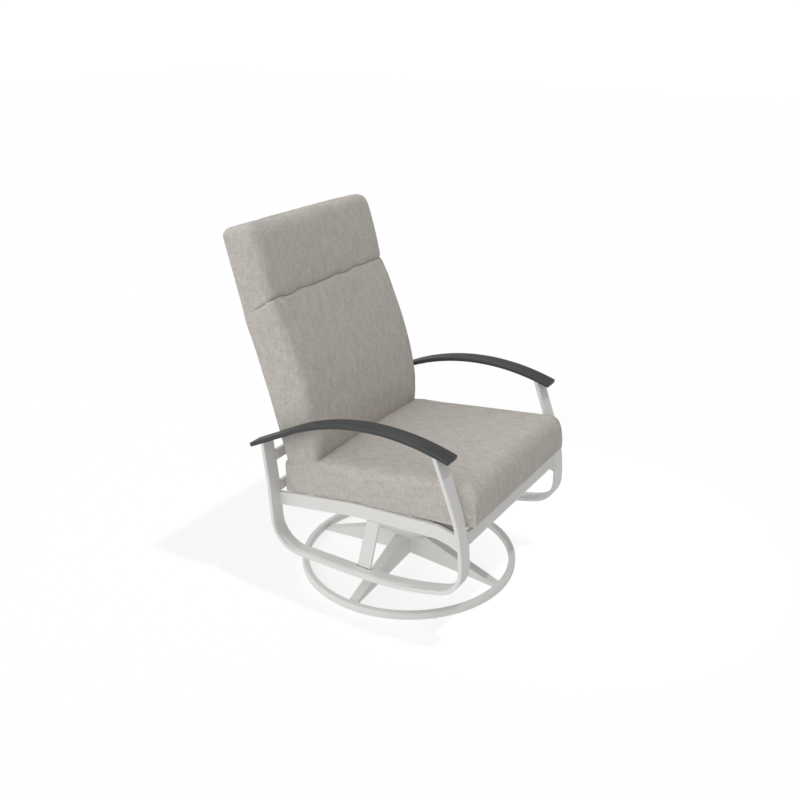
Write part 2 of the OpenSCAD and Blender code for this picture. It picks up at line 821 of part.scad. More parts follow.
// Cushions: rings of one rounded outline, each with its own size and place along the cushion
ring_top_n = 12;
ring_corner_n = 4;
function flat_side(n, from, to) = [for (k = [1 : n - 1]) from + (to - from) * k / n];
function corner_arc(c, r, start) = [
  for (k = [0 : ring_corner_n])
    let (a = start + 90 * k / ring_corner_n)
    c + r * [cos(a), sin(a)]
];
// Outline of half width w from b up to t, with corner radii rt and rb, anticlockwise from the right
function soft_ring(w, t, b, rt, rb) =
  concat(
    corner_arc([w - rt, t - rt], rt, 0), flat_side(ring_top_n, [w - rt, t], [-w + rt, t]),
    corner_arc([-w + rt, t - rt], rt, 90), flat_side(2, [-w, t - rt], [-w, b + rb]),
    corner_arc([-w + rb, b + rb], rb, 180), flat_side(4, [-w + rb, b], [w - rb, b]),
    corner_arc([w - rb, b + rb], rb, 270), flat_side(2, [w, b + rb], [w, t - rt])
  );

module soft_body(rings) {
  n = len(rings[0]);
  last = len(rings) - 1;
  walls = [
    for (k = [0 : last - 1])
      for (s = [0 : n - 1])
        let (a = k * n + s, b = k * n + (s + 1) % n)
        each [[a, b + n, b], [a, a + n, b + n]]
  ];
  middle = function (ring) [for (i = [0 : 2]) [for (p = ring) p[i]] * [for (p = ring) 1] / n];
  first_mid = (last + 1) * n;
  foot = [for (s = [0 : n - 1]) [first_mid, s, (s + 1) % n]];
  cap = [for (s = [0 : n - 1]) [first_mid + 1, last * n + (s + 1) % n, last * n + s]];
  polyhedron(
    concat([for (r = rings) each r], [middle(rings[0]), middle(rings[last])]),
    concat(walls, foot, cap)
  );
}

// Rounding at an end: how much a section shrinks at distance d from the end
function end_shrink(d, r) = d >= r ? 0 : r - sqrt(r * r - (r - d) * (r - d));
function hump(t) = t <= 0 || t >= 1 ? 0 : sin(180 * t);

// Seat cushion: sections from rear to front
seat_w = seat_gap / 2 - 1;
seat_swell = 5;
seat_swell_from = 112 - seat_front_y;
seat_swell_l = seat_front_y + seat_rear_y - 136;
seat_front_top_r = 48;
seat_front_low_r = 12;
seat_front_side_r = 26;
seat_rear_r = 14;
seat_side_r = 26;
seat_low_r = 11;
seat_slope = 6.9;
seat_ys = concat(
  [seat_rear_y, seat_rear_y - 3, seat_rear_y - 10, seat_rear_y - 22],
  [for (y = [seat_rear_y - 45 : -35 : -seat_front_y + 75]) y],
  [-seat_front_y + 52, -seat_front_y + 34, -seat_front_y + 19, -seat_front_y + 8, -seat_front_y + 2,
   -seat_front_y]
);
seat_line_z = rail_top(0) + seat_t - 8;
back_front_y = back_foot[0] - 75;
function seat_edge_z(y) = min(
  seat_line_z - y * tan(seat_slope),
  back_foot[1] + (back_foot[0] - y) * tan(recline) - soft_gap / cos(recline) - 0.1
);
function seat_low_z(y) = rail_top(y) + soft_gap + 0.4;
function seat_lift(y) = seat_crown * min(1, max(0, (back_front_y - y) / 130));
function seat_section(y) =
  let (
    front = seat_front_y + y,
    rear = seat_rear_y - y,
    top_in = end_shrink(front, seat_front_top_r) * 0.9 + end_shrink(rear, seat_rear_r) * 0.5,
    low_in = end_shrink(front, seat_front_low_r) + end_shrink(rear, seat_rear_r) * 0.5,
    side_in = end_shrink(front, seat_front_side_r) + end_shrink(rear, seat_rear_r),
    w = seat_w - side_in + seat_swell * hump((y - seat_swell_from) / seat_swell_l),
    t = seat_edge_z(y) - top_in,
    b = seat_low_z(y) + low_in
  )
  [for (p = soft_ring(w, t, b, min(seat_side_r, (t - b) / 2 - 1), min(seat_low_r, (t - b) / 2 - 1)))
    let (over = max(0, 1 - pow(p[0] / w, 2)), share = max(0, (p[1] - b) / (t - b) - 0.5) * 2)
    [p[0], y, p[1] + seat_lift(y) * over * share * (1 - end_shrink(front, seat_front_top_r) / 60)]];
module seat_cushion() {
  placed() color("#b4aea6") soft_body([for (y = seat_ys) seat_section(y)]);
}

// Back cushion: sections from its foot to its top, swelled in front, drawn in at the sewn channel
back_w = seat_gap / 2 - 3;
back_front_r = 25;
back_rear_r = 17;
back_low_t = 68;
back_taper = 3;
head_t = 65;
head_belly = 6;
// The back swells sideways only above the arms
back_swell = 5;
back_swell_from = 232;
back_swell_l = back_l - 180;
seam_s = back_l - head_l;
seam_w = 13;
channel = function (s) exp(-pow((s - seam_s) / seam_w, 2));
back_ss = concat(
  [0, 3, 10, 22],
  [for (k = [1 : 10]) 22 + (seam_s - 30 - 22) * k / 10],
  [seam_s - 17, seam_s - 8, seam_s, seam_s + 8, seam_s + 17, seam_s + 32],
  [for (k = [1 : 4]) seam_s + 32 + (head_l - 32 - 40) * k / 4],
  [back_l - 24, back_l - 12, back_l - 4, back_l]
);
function back_front(s) =
  s < seam_s
  ? back_low_t - back_taper * s / seam_s + back_belly * sin(180 * pow(s / seam_s, 0.85))
  : head_t + head_belly * sin(180 * (s - seam_s) / head_l);
function back_section(s) =
  let (
    top_gap = back_l - s,
    side_in = end_shrink(s, 20) * 0.7 + end_shrink(top_gap, 22) * 0.9 + 2 * channel(s),
    w = back_w - side_in + back_swell * hump((s - back_swell_from) / back_swell_l),
    front = back_front(s) - seam_depth * channel(s) - end_shrink(s, 22) * 0.6 - end_shrink(top_gap, 36) * 0.9,
    rear = back_rear_t - end_shrink(top_gap, 16) * 0.9,
    front_r = min(back_front_r, (front + rear) / 2 - 1),
    rear_r = min(back_rear_r, (front + rear) / 2 - 1)
  )
  [for (p = soft_ring(w, front, -rear, front_r, rear_r))
    let (
      over = max(0, 1 - pow(p[0] / w, 2)),
      share = max(0, p[1] / front),
      at = back_foot + back_dir * s + back_normal * (p[1] + 4 * over * share)
    )
    [-p[0], at[0], at[1]]];
module back_cushion() {
  placed() color("#b4aea6") soft_body([for (s = back_ss) back_section(s)]);
}

base_ring();
floor_glides();
spoke_front();
spoke_rear();
spoke_left();
spoke_right();
hub_tube();
hub_bushing_upper();
hub_bushing_lower();
thrust_bearing();
swivel_spindle();
spindle_washer();
spindle_nut();
swivel_race();
swivel_bracket();
spring_tray();
rock_shaft();
shaft_nuts();
lower_spring_cups();
spring_front_left();
spring_front_right();
spring_rear_left();
spring_rear_right();
upper_spring_cups();
rocker_bracket();
rocker_bushings();
bump_stops();
cross_tube_front();
cross_tube_rear();
mechanism_bolts();
mechanism_nuts();
seat_rail_left();
seat_rail_right();
front_rail();
seat_slats();
rear_rail_lower();
rear_rail_upper();
side_frame_left();
side_frame_right();
strut_left();
strut_right();
arm_left();
arm_right();
arm_studs();
back_stile_left();
back_stile_right();
back_top_rail();
back_slats();
back_frame_bolts();
back_frame_nuts();
seat_cushion();
back_cushion();
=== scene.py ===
"""Looks of the outdoor swivel rocker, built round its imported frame.

Metres, +Z up, the sitter faces -Y. The shapes of the cushions and the small parts are drawn in
millimetres from the swivel axis and the floor; placed() brings them to the frame.
"""
import json
import math

import bmesh
import bpy
import numpy as np
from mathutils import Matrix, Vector
from mathutils.kdtree import KDTree


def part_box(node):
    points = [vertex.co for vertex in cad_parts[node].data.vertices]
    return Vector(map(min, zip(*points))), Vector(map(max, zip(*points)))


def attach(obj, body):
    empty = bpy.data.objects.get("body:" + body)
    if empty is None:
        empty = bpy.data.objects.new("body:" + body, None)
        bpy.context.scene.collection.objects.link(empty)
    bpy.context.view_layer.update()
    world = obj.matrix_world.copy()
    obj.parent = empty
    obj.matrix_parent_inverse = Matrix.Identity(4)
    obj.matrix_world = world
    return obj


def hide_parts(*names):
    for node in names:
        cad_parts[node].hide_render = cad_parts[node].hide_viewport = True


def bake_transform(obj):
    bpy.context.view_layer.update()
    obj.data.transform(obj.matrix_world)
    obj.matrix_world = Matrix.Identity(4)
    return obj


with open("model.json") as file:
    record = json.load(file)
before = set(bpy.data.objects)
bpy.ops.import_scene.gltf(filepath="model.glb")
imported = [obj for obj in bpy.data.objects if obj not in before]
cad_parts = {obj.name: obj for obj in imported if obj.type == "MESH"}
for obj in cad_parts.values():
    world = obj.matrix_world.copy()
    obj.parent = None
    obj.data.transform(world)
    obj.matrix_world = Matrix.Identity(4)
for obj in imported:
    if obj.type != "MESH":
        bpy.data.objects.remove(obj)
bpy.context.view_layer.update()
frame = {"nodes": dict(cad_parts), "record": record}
nodes = frame["nodes"]
scene = bpy.context.scene
MM = 0.001
SWIVEL_Y = -0.033
SIDES = (("left", 1), ("right", -1))


# Shader sockets with arithmetic
class Wire:
    def __init__(self, paint, socket):
        self.paint, self.socket = paint, socket

    def maths(self, operation, a, b):
        return self.paint.node("ShaderNodeMath", {"operation": operation}, {0: a, 1: b})

    def __add__(self, other):
        return self.maths("ADD", self, other)

    def __radd__(self, other):
        return self.maths("ADD", other, self)

    def __rsub__(self, other):
        return self.maths("SUBTRACT", other, self)

    def __mul__(self, other):
        return self.maths("MULTIPLY", self, other)

    def __rmul__(self, other):
        return self.maths("MULTIPLY", other, self)

    def __pow__(self, other):
        return self.maths("POWER", self, other)

    def sine(self):
        return self.paint.node("ShaderNodeMath", {"operation": "SINE"}, {0: self})

    def within(self, low, high):
        """0 at low and 1 at high, held between them."""
        return self.paint.node(
            "ShaderNodeMapRange", {"clamp": True}, {0: self, 1: low, 2: high, 3: 0.0, 4: 1.0}
        )


class Paint:
    """A material's or a world's node tree."""

    def __init__(self, name, kind="materials"):
        self.material = getattr(bpy.data, kind).new(name)
        self.material.use_nodes = True
        self.tree = self.material.node_tree
        self.tree.nodes.clear()

    def node(self, kind, settings=None, sockets=None, out=0):
        made = self.tree.nodes.new(kind)
        for key, value in (settings or {}).items():
            setattr(made, key, value)
        for key, value in (sockets or {}).items():
            if isinstance(value, Wire):
                self.tree.links.new(value.socket, made.inputs[key])
            else:
                made.inputs[key].default_value = value
        return Wire(self, made.outputs[out]) if len(made.outputs) else None

    def mix(self, share, a, b):
        return self.node("ShaderNodeMix", {"data_type": "RGBA"}, {0: share, 6: a, 7: b}, 2)

    def place(self):
        return self.node("ShaderNodeTexCoord", out="Object")

    def uv(self, name):
        return self.node("ShaderNodeUVMap", {"uv_map": name})

    def part(self, vector, axis):
        return self.node("ShaderNodeSeparateXYZ", None, {0: vector}, axis)

    def vector(self, operation, a, b, out=0):
        return self.node("ShaderNodeVectorMath", {"operation": operation}, {0: a, 1: b}, out)

    def noise(self, vector, scale=1.0, detail=2.0, rough=0.5):
        return self.node(
            "ShaderNodeTexNoise", None,
            {"Vector": vector, "Scale": scale, "Detail": detail, "Roughness": rough},
        )

    def streaks(self, vector, across, along, detail=2.0, rough=0.5):
        """Noise with this many grains to the metre across and along."""
        stretched = self.vector("MULTIPLY", vector, (across, along, 1.0))
        return self.noise(stretched, detail=detail, rough=rough)

    def bump(self, height, distance, strength=1.0):
        sockets = {"Height": height, "Distance": distance, "Strength": strength}
        return self.node("ShaderNodeBump", None, sockets)

    def white_light(self, kind, strength):
        return self.node(kind, None, {"Color": rgb(1, 1, 1), "Strength": strength})

    def to_camera(self, other, seen):
        """One shader for camera rays and another for all the rest."""
        camera_ray = self.node("ShaderNodeLightPath", out="Is Camera Ray")
        return self.node("ShaderNodeMixShader", None, {0: camera_ray, 1: other, 2: seen})

    def surface(self, **sockets):
        named = {key.replace("_", " "): value for key, value in sockets.items()}
        shader = self.node("ShaderNodeBsdfPrincipled", None, named)
        self.node("ShaderNodeOutputMaterial", None, {"Surface": shader})
        return self.material


def rgb(r, g, b):
    return (r, g, b, 1.0)


def powder_coat():
    paint = Paint("powder_coat")
    place = paint.place()
    peel = paint.noise(place, scale=420.0, detail=1.0)
    cloudy = paint.noise(place, scale=9.0, detail=3.0)
    light, lighter = rgb(0.80, 0.795, 0.775), rgb(0.83, 0.825, 0.805)
    return paint.surface(
        Base_Color=paint.mix(cloudy.within(0.35, 0.7), light, lighter),
        Roughness=0.36 + 0.1 * cloudy,
        Normal=paint.bump(peel, distance=0.00012),
    )


def arm_coat():
    """Fine grain along the arm, on its UV map grain in metres."""
    paint = Paint("arm_coat")
    grain_uv = paint.uv("grain")
    fine = paint.streaks(grain_uv, across=300.0, along=6.0, detail=4.0, rough=0.65)
    broad = paint.streaks(grain_uv, across=120.0, along=3.0)
    grain = fine * 0.65 + broad * 0.35
    dark, light = rgb(0.016, 0.020, 0.020), rgb(0.088, 0.096, 0.094)
    return paint.surface(
        Base_Color=paint.mix(grain.within(0.35, 0.68), dark, light),
        Roughness=0.40 + 0.16 * grain,
        Normal=paint.bump(grain, distance=0.00025),
    )


FABRIC_LIGHT = rgb(0.655, 0.618, 0.573)
FABRIC_DARK = rgb(0.498, 0.465, 0.424)
FABRIC_GAPS = rgb(0.42, 0.39, 0.35)
# metres from yarn to yarn
YARN_ACROSS, YARN_ALONG = 0.0016, 0.0013


def fabric():
    """Slub weave on the UV map weave, in metres: its V runs along the slubs."""
    paint = Paint("fabric")
    weave_uv = paint.uv("weave")
    slub = paint.streaks(weave_uv, across=250.0, along=30.0, rough=0.6)
    cross = paint.streaks(weave_uv, across=40.0, along=230.0, rough=0.6)
    patch = paint.streaks(weave_uv, across=50.0, along=16.0, rough=0.55)
    tone = slub * 0.42 + cross * 0.38 + patch * 0.20
    warp = (paint.part(weave_uv, "X") * (2 * math.pi / YARN_ACROSS)).sine()
    weft = (paint.part(weave_uv, "Y") * (2 * math.pi / YARN_ALONG)).sine()
    yarn = (warp * weft) * 0.5 + 0.5
    height = yarn * 0.35 + slub * 0.9 + cross * 0.5
    colour = paint.mix(tone.within(0.393, 0.607), FABRIC_DARK, FABRIC_LIGHT)
    return paint.surface(
        Base_Color=paint.mix(yarn * 0.07, colour, FABRIC_GAPS),
        Roughness=0.93,
        Normal=paint.bump(height, distance=0.0007, strength=0.8),
    )


def plain(name, colour, rough, metal=0.0, scale=300.0, depth=0.00005):
    paint = Paint(name)
    speck = paint.noise(paint.place(), scale=scale)
    return paint.surface(
        Base_Color=rgb(*colour), Roughness=rough + 0.12 * speck, Metallic=metal,
        Normal=paint.bump(speck, distance=depth),
    )


MATERIALS = {
    "powder_coat": powder_coat(),
    "arm_coat": arm_coat(),
    "fabric": fabric(),
    "bushing_plastic": plain("bushing_plastic", (0.03, 0.03, 0.03), 0.5),
    "glide_plastic": plain("glide_plastic", (0.35, 0.35, 0.35), 0.5),
    "rubber": plain("rubber", (0.03, 0.03, 0.03), 0.75, scale=500.0, depth=0.0001),
    "steel": plain("steel", (0.62, 0.62, 0.60), 0.28, metal=1.0),
    "spring_steel": plain("spring_steel", (0.30, 0.30, 0.31), 0.38, metal=1.0),
    # dark grey for the web strips, which stand in for the shade under the seat pad (painted shade)
    "webbing": plain("webbing", (0.26, 0.26, 0.26), 0.8, scale=900.0, depth=0.0001),
    "thread": plain("thread", (0.72, 0.69, 0.65), 0.8, scale=900.0, depth=0.0001),
}
for part in frame["record"]["subparts"]:
    piece = nodes[part["node"]]
    piece.data.materials.clear()
    piece.data.materials.append(MATERIALS[part["material_slot"]])


# Meshes
def new_piece(name, points, faces, material, smooth=True):
    mesh = bpy.data.meshes.new(name)
    mesh.from_pydata([tuple(p) for p in points], [], [tuple(f) for f in faces])
    body = bmesh.new()
    body.from_mesh(mesh)
    bmesh.ops.recalc_face_normals(body, faces=body.faces)
    body.to_mesh(mesh)
    body.free()
    mesh.polygons.foreach_set("use_smooth", [smooth] * len(mesh.polygons))
    mesh.materials.append(MATERIALS[material])
    piece = bpy.data.objects.new(name, mesh)
    scene.collection.objects.link(piece)
    return piece


def placed(points):
    """Points in millimetres from the swivel axis, in the frame's metres."""
    return np.asarray(points) * MM + (0, SWIVEL_Y, 0)


def tube_of_rings(rings):
    """Points and faces of a body made of equal rings, each end closed by a fan to its middle."""
    rings = [np.asarray(r, float) for r in rings]
    n = len(rings[0])
    points = np.concatenate(rings)
    faces = []
    for k in range(len(rings) - 1):
        for s in range(n):
            a, b = k * n + s, k * n + (s + 1) % n
            faces.append((a, b, b + n, a + n))
    for ring_at in (0, len(rings) - 1):
        middle = len(points)
        points = np.concatenate([points, rings[ring_at].mean(0, keepdims=True)])
        base = ring_at * n
        faces += [(base + s, base + (s + 1) % n, middle) for s in range(n)]
    return points, faces


def arc_points(cx, cz, r, start, n=8):
    """A quarter of a circle from the start angle on."""
    t = np.radians(np.linspace(start, start + 90, n + 1))
    return np.c_[cx + r * np.cos(t), cz + r * np.sin(t)]


def rounded_box(half_a, half_b, r, n, cut=0.0):
    """Outline of a rectangle with round corners, drawn in by cut."""
    return np.concatenate([
        arc_points(a * (half_a - r), b * (half_b - r), r - cut, start, n)
        for a, b, start in ((1, 1, 0), (-1, 1, 90), (-1, -1, 180), (1, -1, 270))
    ])


# Shaping curves
def end_shrink(d, r):
    """How far a rounding of radius r lies inside the corner, at the distance d from the end."""
    return 0.0 if d >= r else r - math.sqrt(max(0.0, r * r - (r - d) ** 2))


def hump(t):
    return 0.0 if t <= 0 or t >= 1 else math.sin(math.pi * t)


def ramp(value, width):
    """0 to 1 while value goes from 0 to width."""
    return np.clip(value / width, 0, 1)


def smooth_step(k):
    return k * k * (3 - 2 * k)


def bell(d, width):
    return np.exp(-((d / width) ** 2))


def wave(x, lengths, phase):
    """An uneven wave of unit height along x."""
    return sum(
        np.sin(2 * math.pi * x / n + phase + 1.7 * k) for k, n in enumerate(lengths)
    ) / len(lengths)


# Arms: a rounded bar swept along a line, an arc and a line
ARM_X = 0.325
ARM_HALF = 0.0275
ARM_THICK = 0.0135
ARM_EDGE = 0.004
ARM_SOFT = 0.0010
ARM_R = 0.720
ARM_CREST = (-0.121, 0.630 - ARM_R)
ARM_ENDS = (0.364, -0.340)
ARM_SLOPES = (27.0, -16.0)
GRAIN_SHIFT = 0.4


def arm_line():
    """Points of the arm's centre line with their directions, from the rear to the front end."""
    turn = np.radians(np.linspace(ARM_SLOPES[0], ARM_SLOPES[1], 44))
    arc = [
        (ARM_CREST[0] + ARM_R * math.sin(a), ARM_CREST[1] + ARM_R * math.cos(a), a) for a in turn
    ]
    tails = []
    for end, (y, z, a) in ((ARM_ENDS[0], arc[0]), (ARM_ENDS[1], arc[-1])):
        shares = np.linspace(0, 1, 10)[1:]
        tails.append([(y + t * (end - y), z - t * (end - y) * math.tan(a), a) for t in shares])
    return tails[0][::-1] + arc + tails[1]


def arm(side):
    stations = arm_line()
    centres = np.array([(y, z) for y, z, a in stations])
    steps = np.r_[0, np.cumsum(np.linalg.norm(np.diff(centres, axis=0), axis=1))]
    near_end = np.array([0.0003, 0.001, 0.002, 0.004])
    wanted = np.unique(np.round(np.r_[steps, near_end, steps[-1] - near_end], 6))
    ys = np.interp(wanted, steps, centres[:, 0])
    zs = np.interp(wanted, steps, centres[:, 1])
    angles = np.interp(wanted, steps, [a for y, z, a in stations])
    rings = []
    for at, y, z, a in zip(wanted, ys, zs, angles):
        end = min(at, wanted[-1] - at)
        soft = end_shrink(end, ARM_SOFT)
        half = ARM_HALF - end_shrink(end, ARM_EDGE) - soft
        ring = rounded_box(half, ARM_THICK / 2 - soft, ARM_EDGE - soft / 2, 6)
        across, up = side * ARM_X + ring[:, 0], ring[:, 1]
        rings.append(np.c_[across, SWIVEL_Y + y + math.sin(a) * up, z + math.cos(a) * up])
    points, faces = tube_of_rings(rings)
    made = new_piece("arm_shell_" + ("left" if side > 0 else "right"), points, faces, "arm_coat")
    n = len(rings[0])
    around = np.r_[0, np.cumsum(np.linalg.norm(np.diff(rings[5], axis=0), axis=1))]
    uv = made.data.uv_layers.new(name="grain")
    for loop in made.data.loops:
        v = loop.vertex_index
        row = min(v // n, len(rings) - 1)
        uv.data[loop.index].uv = (around[v % n] + side * GRAIN_SHIFT, wanted[row])
    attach(made, "seat")
    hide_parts("arm_left" if side > 0 else "arm_right")


arm(1)
arm(-1)


# Cushions: the frame that they lie on and their sizes, in millimetres and degrees
RAIL_TOP = 350.7
SIDE_RAIL_SLOPE, FRONT_RAIL_SLOPE = 8.3, 3.2
SEAT_FRONT, SEAT_REAR, SEAT_HALF = 402.0, 274.0, 299
SEAT_THICK, SEAT_SLOPE = 114, 6.9
SEAT_NOSE_R, SEAT_REAR_R = 48, 8
RECLINE = math.radians(16.5)
BACK_FOOT = np.array([210.0, 431.0])
BACK_DIR = np.array([math.sin(RECLINE), math.cos(RECLINE)])
BACK_NORMAL = np.array([-math.cos(RECLINE), math.sin(RECLINE)])
BACK_L, HEAD_L, BACK_REAR, BACK_HALF = 731.0, 224.0, 60.0, 297
SEAM_S = BACK_L - HEAD_L
FOOT_S, FOOT_R = -7.0, 8
CHANNEL_R = 22
HEAD_SIDE_R, HEAD_FRONT_R, HEAD_REAR_R = 22, 36, 16


def soft_ring(w, top, bottom, top_r, bottom_r, n_long=110, n_side=14):
    """Outline of a cushion: half width w, and round corners of two radii."""
    def between(p, q, n):
        return np.linspace(p, q, n + 1)[1:-1]

    return np.concatenate([
        arc_points(w - top_r, top - top_r, top_r, 0),
        between((w - top_r, top), (-w + top_r, top), n_long),
        arc_points(-w + top_r, top - top_r, top_r, 90),
        between((-w, top - top_r), (-w, bottom + bottom_r), n_side),
        arc_points(-w + bottom_r, bottom + bottom_r, bottom_r, 180),
        between((-w + bottom_r, bottom), (w - bottom_r, bottom), n_long),
        arc_points(w - bottom_r, bottom + bottom_r, bottom_r, 270),
        between((w, bottom + bottom_r), (w, top - top_r), n_side),
    ])


def rail_top(y):
    """Height of what the seat pad lies on: the side rails' top edge, then the front rail's."""
    slope = SIDE_RAIL_SLOPE if y > 0 else FRONT_RAIL_SLOPE
    return RAIL_TOP - y * math.tan(math.radians(slope))


def corner_radius(k):
    """Radius of the seat pad's front corners: sewn to an edge below (k 0), round above (k 1)."""
    return 4 + 22 * smooth_step(k)


def seat_section(y):
    """The seat pad's outline across the chair at y."""
    front, rear = SEAT_FRONT + y, SEAT_REAR - y
    nose, heel = end_shrink(front, SEAT_NOSE_R), end_shrink(rear, SEAT_REAR_R)
    # the side view: the top slopes back and is pressed in under the back cushion, and the
    # bottom turns up to the front rail
    top_edge = min(
        RAIL_TOP + SEAT_THICK - y * math.tan(math.radians(SEAT_SLOPE)), 420 + (267 - y) * 0.205
    )
    top = top_edge - (nose * 0.9 + heel * 0.5)
    turned_up = 15 * max(0, 1 - front / 70) ** 1.6 + end_shrink(front, 3) + heel * 0.5
    bottom = rail_top(y) + 0.9 + (turned_up + 3.5 * ramp(-150 - y, 60))
    # the front view: sides that swell between the uprights, and a crown
    swell = hump((y + 290) / 540)
    w = SEAT_HALF - heel + 3 * swell
    top_r = 26 - 12 * ramp(y - 40, 90)
    most_r = (top - bottom) / 2 - 1
    p = soft_ring(w, top, bottom, min(top_r, most_r), min(4, most_r))
    crown = np.clip(1 - (p[:, 0] / w) ** 2, 0, None)
    upper = np.clip((p[:, 1] - bottom) / (top - bottom) - 0.5, 0, None) * 2
    corner = np.array([end_shrink(front, corner_radius(k)) for k in np.clip(upper, 0, 1)])
    p[:, 0] *= (w - corner) / w
    rise = ramp(p[:, 1] - bottom, top - bottom)
    at_side = np.abs(p[:, 0]) > w - 30
    p[:, 0] += np.sign(p[:, 0]) * 4.5 * swell * np.sin(math.pi * rise) * at_side
    lift = 12 * ramp(225 - y, 90)
    z = p[:, 1] + lift * crown * upper * (1 - nose / 60)
    return np.c_[p[:, 0], np.full(len(p), y), z]


def back_front(s):
    """How far the back cushion's front stands out, s millimetres up the back."""
    if s < SEAM_S:
        up = max(0.0, s)
        belly = 34 * math.sin(math.pi * (up / SEAM_S) ** 0.85)
        return 68 - 3 * s / SEAM_S - 9 * max(0, 1 - up / 90) ** 1.5 + belly
    return 65 + 6 * math.sin(math.pi * (s - SEAM_S) / HEAD_L)


def back_section(s):
    """The back cushion's outline square to the back, s millimetres up it."""
    top_gap = BACK_L - s
    foot = end_shrink(s - FOOT_S, FOOT_R) * 0.7
    w = BACK_HALF - foot - end_shrink(top_gap, HEAD_SIDE_R) * 0.9
    w += 5 * hump((s - 232) / (BACK_L - 180)) + 3.5 * bell(s - 448, 50)
    front = back_front(s) - foot - end_shrink(top_gap, HEAD_FRONT_R) * 0.9
    rear = BACK_REAR - end_shrink(top_gap, HEAD_REAR_R) * 0.9
    most_r = (front + rear) / 2 - 1
    p = soft_ring(w, front, -rear, min(25, most_r), min(17, most_r))
    x, out = p[:, 0], p[:, 1]
    crown = 4 * np.clip(1 - (x / w) ** 2, 0, None) * np.clip(out / front, 0, None)
    # the sewn channel: deep across the front, dying out halfway round each side
    reach = smooth_step(ramp(out + 26, 34))
    from_seam = abs(s - SEAM_S)
    near, wide = end_shrink(from_seam, CHANNEL_R) / CHANNEL_R, math.exp(-from_seam / 34)
    pucker = wave(x, (97, 61, 43), 0.6) * wide * (1.9 if s < SEAM_S else 1.1) * (1 - near)
    front_side = ramp(out - front + 30, 30)
    inward = (10.5 * near - pucker) * reach * front_side
    pinch = 7 * end_shrink(from_seam, 9) / 9
    aside = np.sign(x) * pinch * reach * (1 - front_side) * (np.abs(x) > w - 26)
    # uneven lines: the channel, the foot, which sinks in front, and the top of the head roll
    lean = wave(x, (143, 96), 2.1) * 3.2 * math.exp(-from_seam / 45)
    lean -= 7 * ramp(out, 60) * math.exp(-max(0, s) / 40)
    top_line = wave(x, (330, 190), 1.0) * 3.5 + 9 * bell(x - 248, 55) - 3 * bell(x + 255, 45)
    lean += top_line * math.exp(-top_gap / 30)
    lean = lean * np.maximum(reach, math.exp(-top_gap / 60))
    # the channel falls towards the rear along each side
    fall = -22 * ramp(front - 10 - out, 75) * ramp(out + 60, 40) * wide
    yz = BACK_FOOT + np.outer(s + (lean + fall), BACK_DIR)
    return np.c_[-(x - aside), yz + np.outer(out + crown - inward, BACK_NORMAL)]


def spread(*pieces):
    """Stations from runs of (from, to, step) in millimetres, each reached exactly."""
    values = []
    for low, high, step in pieces:
        values += list(np.linspace(low, high, max(2, int(round(abs(high - low) / step)) + 1)))
    return list(dict.fromkeys(round(v, 4) for v in values))


def round_end(end, inward, r, n):
    """Stations of a rounded end, close together at the very end."""
    return [end + inward * r * (1 - math.cos(t)) for t in np.linspace(0, math.pi / 2, n + 1)]


def with_caps(rings, bulges, n=16):
    """Rings that close both ends, drawn in to a middle, each cap swelling out by its bulge."""
    made = list(rings)
    for at, bulge in ((0, bulges[0]), (-1, bulges[1])):
        ring = rings[at]
        middle = (ring.max(0) + ring.min(0)) / 2
        for k in range(1, n):
            f = 1 - k / n
            cap = middle + (ring - middle) * f + np.asarray(bulge) * (1 - f**2)
            if at == 0:
                made.insert(0, cap)
            else:
                made.append(cap)
    return made


seat_ys = (
    round_end(SEAT_REAR, -1, 16, 8)
    + spread((SEAT_REAR - 20, -SEAT_FRONT + 52, 5))
    + round_end(-SEAT_FRONT, 1, SEAT_NOSE_R, 14)[::-1]
)
seat_rings = with_caps([seat_section(y) for y in seat_ys], ((0, 0, 0), (0, -2.0, 0)))
back_ss = (
    round_end(FOOT_S, 1, FOOT_R, 6)
    + spread((6, SEAM_S - 26, 5))
    + round_end(SEAM_S, -1, CHANNEL_R, 14)[::-1]
    + round_end(SEAM_S, 1, CHANNEL_R, 14)[1:]
    + spread((SEAM_S + 26, BACK_L - 40, 5))
    + round_end(BACK_L, -1, HEAD_FRONT_R, 12)[::-1]
)
back_up = np.r_[0, BACK_DIR]
back_rings = with_caps([back_section(s) for s in back_ss], ((0, 0, 0), back_up * 3.0))


def weave_uv(piece, along, across, depth, shift=0.37):
    """UV map weave in metres, box-mapped: V along the slubs, U across them.

    The three directions of the box are shifted from one another.
    """
    mesh = piece.data
    co = np.array([v.co for v in mesh.vertices])
    normal = np.array([v.normal for v in mesh.vertices])
    axes = np.array([across, along, depth], float)
    place, facing = co @ axes.T, np.abs(normal @ axes.T)
    uv = mesh.uv_layers.new(name="weave")
    values = np.zeros((len(mesh.loops), 2))
    for polygon in mesh.polygons:
        ids = list(polygon.vertices)
        main = int(np.argmax(facing[ids].sum(0)))
        u, v = {0: (2, 1), 1: (0, 2), 2: (0, 1)}[main]
        values[polygon.loop_indices] = place[ids][:, (u, v)] + main * shift
    uv.data.foreach_set("uv", values.ravel())


# Folds: a cloth simulation of each cushion's filled cover
COVER_VOXEL = 0.0065
COVER_FRAMES = 20
COVER_REACH = 0.026
# smoothing passes that leave only what moved over a wide area
BROAD_PASSES = 70


